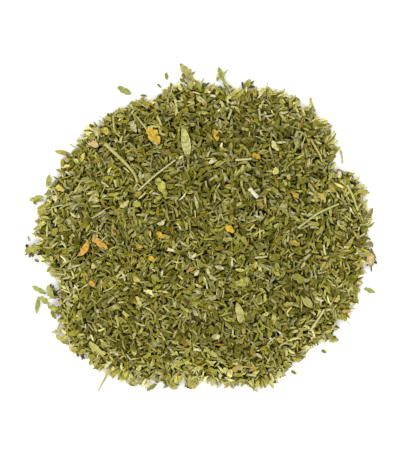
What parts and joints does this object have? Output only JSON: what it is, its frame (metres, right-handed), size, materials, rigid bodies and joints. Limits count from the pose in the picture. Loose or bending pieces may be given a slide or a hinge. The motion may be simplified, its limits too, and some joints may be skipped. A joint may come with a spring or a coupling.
{
  "type": "dried parsley flake heap",
  "caption": "Round, low heap of dried, cut parsley flakes with bits of stem, a few yellow and orange flakes, and loose flakes round its edge, lying on a flat surface.",
  "frame": {"origin": "middle of the heap's flat underside, on the surface it lies on", "axes": "+Z up, +X to the right and +Y up in the view from straight above"},
  "size_m": [0.0986, 0.0933, 0.0184],
  "materials": {
    "green_flakes": "matte",
    "bright_leaves": "matte",
    "pale_leaves": "matte",
    "green_stems": "matte",
    "straw_stems": "matte",
    "yellow_flakes": "matte",
    "orange_flakes": "matte",
    "peach_flakes": "matte",
    "brown_flakes": "matte"
  },
  "bodies": {
    "root": {"green_flake_heap": "green_flakes", "thick_stem": "green_stems", "stem_piece_01": "straw_stems", "stem_piece_02": "green_stems", "stem_piece_03": "straw_stems", "stem_piece_04": "green_stems", "stem_piece_05": "straw_stems", "stem_piece_06": "straw_stems", "stem_piece_07": "straw_stems", "stem_piece_08": "straw_stems", "stem_piece_09": "green_stems", "stem_piece_10": "green_stems", "stem_piece_11": "green_stems", "loose_stem": "straw_stems", "forked_sprig": "green_stems", "stalked_leaf": "pale_leaves", "orange_leaf": "orange_flakes", "orange_flake_01": "orange_flakes", "orange_flake_02": "orange_flakes", "orange_flake_03": "orange_flakes", "orange_flake_04": "orange_flakes", "orange_flake_05": "orange_flakes", "yellow_flake_01": "yellow_flakes", "yellow_flake_02": "yellow_flakes", "yellow_flake_03": "yellow_flakes", "yellow_flake_04": "yellow_flakes", "yellow_curl": "yellow_flakes", "peach_flake_01": "peach_flakes", "peach_flake_02": "peach_flakes", "brown_flake_01": "brown_flakes", "brown_flake_02": "brown_flakes", "brown_flake_03": "brown_flakes", "pale_flake": "pale_leaves", "green_leaf_01": "bright_leaves", "green_leaf_02": "bright_leaves", "green_leaf_03": "bright_leaves", "green_leaf_04": "pale_leaves", "green_leaf_05": "bright_leaves", "green_leaf_06": "bright_leaves", "green_leaf_07": "pale_leaves", "green_leaf_08": "bright_leaves", "green_leaf_09": "bright_leaves", "green_leaf_10": "bright_leaves", "green_leaf_11": "bright_leaves", "green_leaf_12": "bright_leaves", "loose_flake_01": "bright_leaves", "loose_flake_02": "green_flakes", "loose_flake_03": "bright_leaves", "loose_flake_04": "bright_leaves", "loose_flake_05": "bright_leaves", "loose_flake_06": "bright_leaves", "loose_flake_07": "bright_leaves", "loose_flake_08": "green_flakes", "loose_flake_09": "bright_leaves", "loose_flake_10": "pale_leaves", "loose_flake_11": "green_flakes", "loose_flake_12": "green_flakes", "loose_flake_13": "bright_leaves"}
  },
  "joints": []
}
